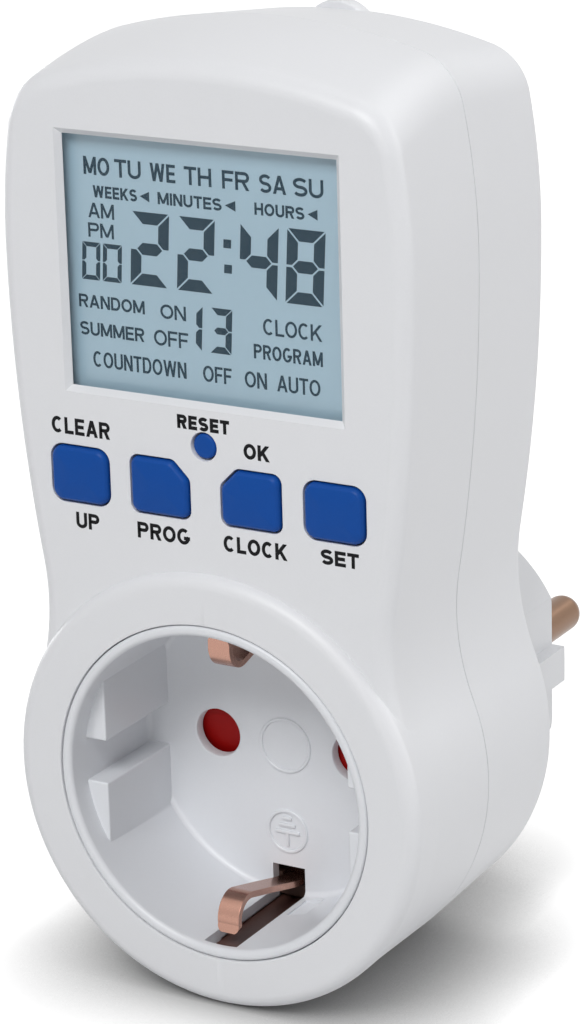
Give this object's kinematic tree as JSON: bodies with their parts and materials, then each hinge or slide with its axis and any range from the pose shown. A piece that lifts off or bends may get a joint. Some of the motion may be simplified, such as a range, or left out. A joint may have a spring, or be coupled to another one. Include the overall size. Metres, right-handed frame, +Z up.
{
  "type": "plug-in timer switch",
  "caption": "Digital weekly timer that plugs into a side-earthed wall socket, with an LCD, blue keys and a through-socket on its front.",
  "frame": {"origin": "centre of the plug's mating face, on the axis between its two pins", "axes": "+Y out of the plug face along the pins, into the wall; +Z up towards the display; +X to the right when the front is seen"},
  "size_m": [0.0544, 0.0766, 0.1154],
  "materials": {
    "housing_plastic": "fine satin",
    "insert_plastic": "fine satin",
    "carrier_plastic": "matte",
    "shutter_plastic": "satin",
    "key_plastic": "satin",
    "clear_plastic": "polished",
    "lcd_cell": "glossy",
    "reflector_foil": "pearly",
    "white_plastic": "satin",
    "dark_rubber": "matte",
    "silicone": "matte",
    "copper_alloy": "stamped, slightly dull",
    "brass": "stamped",
    "pin_metal": "turned, slightly dull",
    "zinc_steel": "zinc plated",
    "spring_steel": "drawn wire",
    "circuit_board": "solder mask",
    "black_resin": "satin",
    "relay_case": "satin",
    "film_yellow": "satin",
    "sleeve_violet": "satin",
    "disc_blue": "dipped lacquer",
    "lacquer_beige": "dipped lacquer",
    "cable_grey": "satin",
    "wire_brown": "satin",
    "wire_black": "satin",
    "wire_blue": "satin"
  },
  "bodies": {
    "housing": {"front_cover": "housing_plastic", "rear_cover": "housing_plastic", "socket_insert": "insert_plastic", "contact_carrier": "carrier_plastic", "carrier_screws": "zinc_steel", "shutter_spring": "spring_steel", "socket_earth_clips": "copper_alloy", "earth_pillar": "brass", "line_contact": "brass", "neutral_contact": "brass", "pin_holder": "carrier_plastic", "line_pin": "pin_metal", "neutral_pin": "pin_metal", "plug_earth_bracket": "copper_alloy", "display_window": "clear_plastic", "lcd_glass": "lcd_cell", "lcd_reflector": "reflector_foil", "lcd_holder": "white_plastic", "zebra_strips": "dark_rubber", "key_mat": "silicone", "display_board": "circuit_board", "display_board_screws": "zinc_steel", "controller_chip": "black_resin", "crystal": "zinc_steel", "backup_cell": "zinc_steel", "power_board": "circuit_board", "power_board_screws": "zinc_steel", "relay": "relay_case", "suppression_capacitor": "film_yellow", "smoothing_capacitor": "sleeve_violet", "varistor": "disc_blue", "fuse_resistor": "lacquer_beige", "rectifier_diodes": "black_resin", "ribbon_cable": "cable_grey", "line_lead": "wire_brown", "load_lead": "wire_black", "neutral_lead": "wire_blue", "housing_screws": "zinc_steel"},
    "up_key": {"up_key": "key_plastic"},
    "program_key": {"program_key": "key_plastic"},
    "clock_key": {"clock_key": "key_plastic"},
    "set_key": {"set_key": "key_plastic"},
    "reset_key": {"reset_key": "key_plastic"},
    "safety_shutter": {"safety_shutter": "shutter_plastic"}
  },
  "joints": [
    {"name": "up_press", "type": "slide", "parent": "housing", "child": "up_key", "axis": [0, 1, 0], "range_m": [0, 0.001], "stiffness_N_per_m": 1200, "deforming": ["key_mat"]},
    {"name": "program_press", "type": "slide", "parent": "housing", "child": "program_key", "axis": [0, 1, 0], "range_m": [0, 0.001], "stiffness_N_per_m": 1200, "deforming": ["key_mat"]},
    {"name": "clock_press", "type": "slide", "parent": "housing", "child": "clock_key", "axis": [0, 1, 0], "range_m": [0, 0.001], "stiffness_N_per_m": 1200, "deforming": ["key_mat"]},
    {"name": "set_press", "type": "slide", "parent": "housing", "child": "set_key", "axis": [0, 1, 0], "range_m": [0, 0.001], "stiffness_N_per_m": 1200, "deforming": ["key_mat"]},
    {"name": "reset_press", "type": "slide", "parent": "housing", "child": "reset_key", "axis": [0, 1, 0], "range_m": [0, 0.0008], "stiffness_N_per_m": 1200, "deforming": ["key_mat"]},
    {"name": "shutter_turn", "type": "hinge", "parent": "housing", "child": "safety_shutter", "pos_m": [0, -0.0372, 0], "axis": [0, 1, 0], "range_deg": [0, 40], "stiffness_Nm_per_rad": 0.02, "deforming": ["shutter_spring"]}
  ]
}
